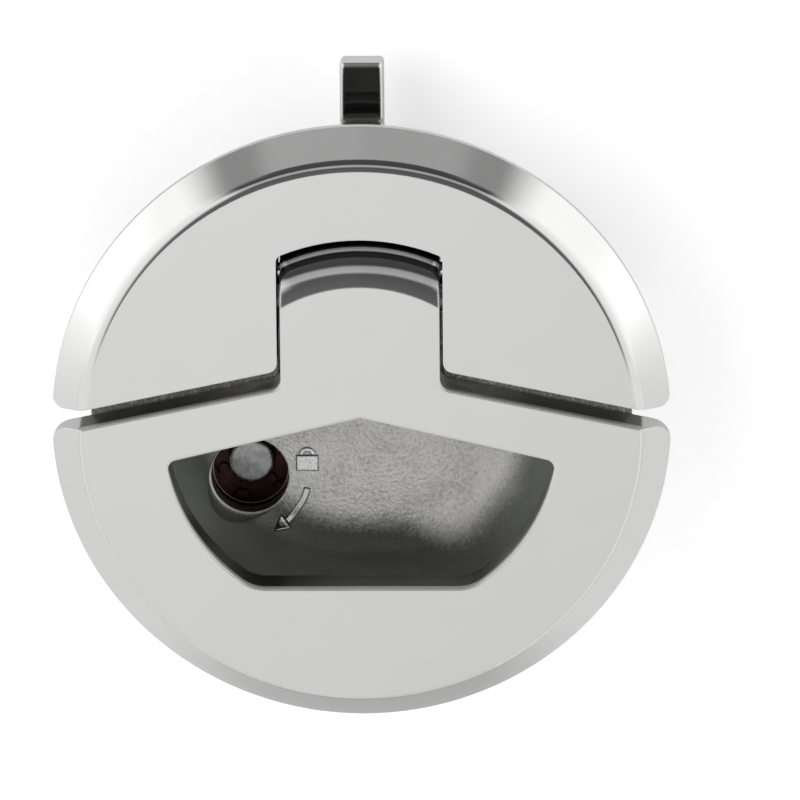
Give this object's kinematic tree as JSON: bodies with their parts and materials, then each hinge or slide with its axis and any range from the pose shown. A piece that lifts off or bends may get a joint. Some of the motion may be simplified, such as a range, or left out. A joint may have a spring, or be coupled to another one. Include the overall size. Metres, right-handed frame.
{
  "type": "floorboard lifter",
  "caption": "Round flush floorboard lifter: half-disc handle with a finger window, fixed half, hinged pawl that hooks under the frame, key lock and rear clamp.",
  "frame": {"origin": "centre of the round face on the surface of the board that the lifter is let into", "axes": "+Z out of the face; +Y from the finger window towards the fixed half and the pawl; +X to the right seen from the front"},
  "size_m": [0.0638, 0.0669, 0.0314],
  "materials": {
    "cast_steel": "cast stainless steel, mirror polished on the face and grit blasted in the cup",
    "mirror_steel": "mirror polished stainless steel",
    "turned_steel": "turned stainless steel",
    "plate_steel": "stamped stainless steel, dull",
    "screw_steel": "plain stainless steel",
    "spring_steel": "drawn spring wire",
    "lock_core": "matt nickel plated",
    "rubber": "black rubber"
  },
  "bodies": {
    "frame": {"housing": "cast_steel", "flange_gasket": "rubber", "hinge_pin": "turned_steel", "pin_retainer_left": "plate_steel", "pin_retainer_right": "plate_steel", "retainer_screws": "screw_steel", "handle_stops": "rubber", "lock_barrel": "turned_steel", "lock_seal": "rubber", "barrel_nut": "turned_steel", "clamp_bridge": "plate_steel", "clamp_screws": "screw_steel", "clamp_washers": "screw_steel", "handle_spring_left": "spring_steel", "handle_spring_right": "spring_steel"},
    "lever": {"handle": "mirror_steel", "pawl": "mirror_steel", "pawl_screws": "screw_steel", "pawl_washers": "screw_steel", "lock_hook": "plate_steel"},
    "key_core": {"lock_plug": "lock_core", "lock_pins": "lock_core", "lock_pin_springs": "spring_steel", "lock_cam": "plate_steel", "cam_washer": "screw_steel", "cam_screw": "screw_steel"}
  },
  "joints": [
    {"name": "handle_lift", "type": "hinge", "parent": "frame", "child": "lever", "pos_m": [0, 0.0135, -0.0004], "axis": [-1, 0, 0], "range_deg": [0, 38], "stiffness_Nm_per_rad": 0.06, "springref_deg": -20.05, "deforming": ["handle_spring_left", "handle_spring_right"]},
    {"name": "key_turn", "type": "hinge", "parent": "frame", "child": "key_core", "pos_m": [-0.0119, -0.0087, -0.0145], "axis": [0, 0, -1], "range_deg": [0, 90]}
  ]
}
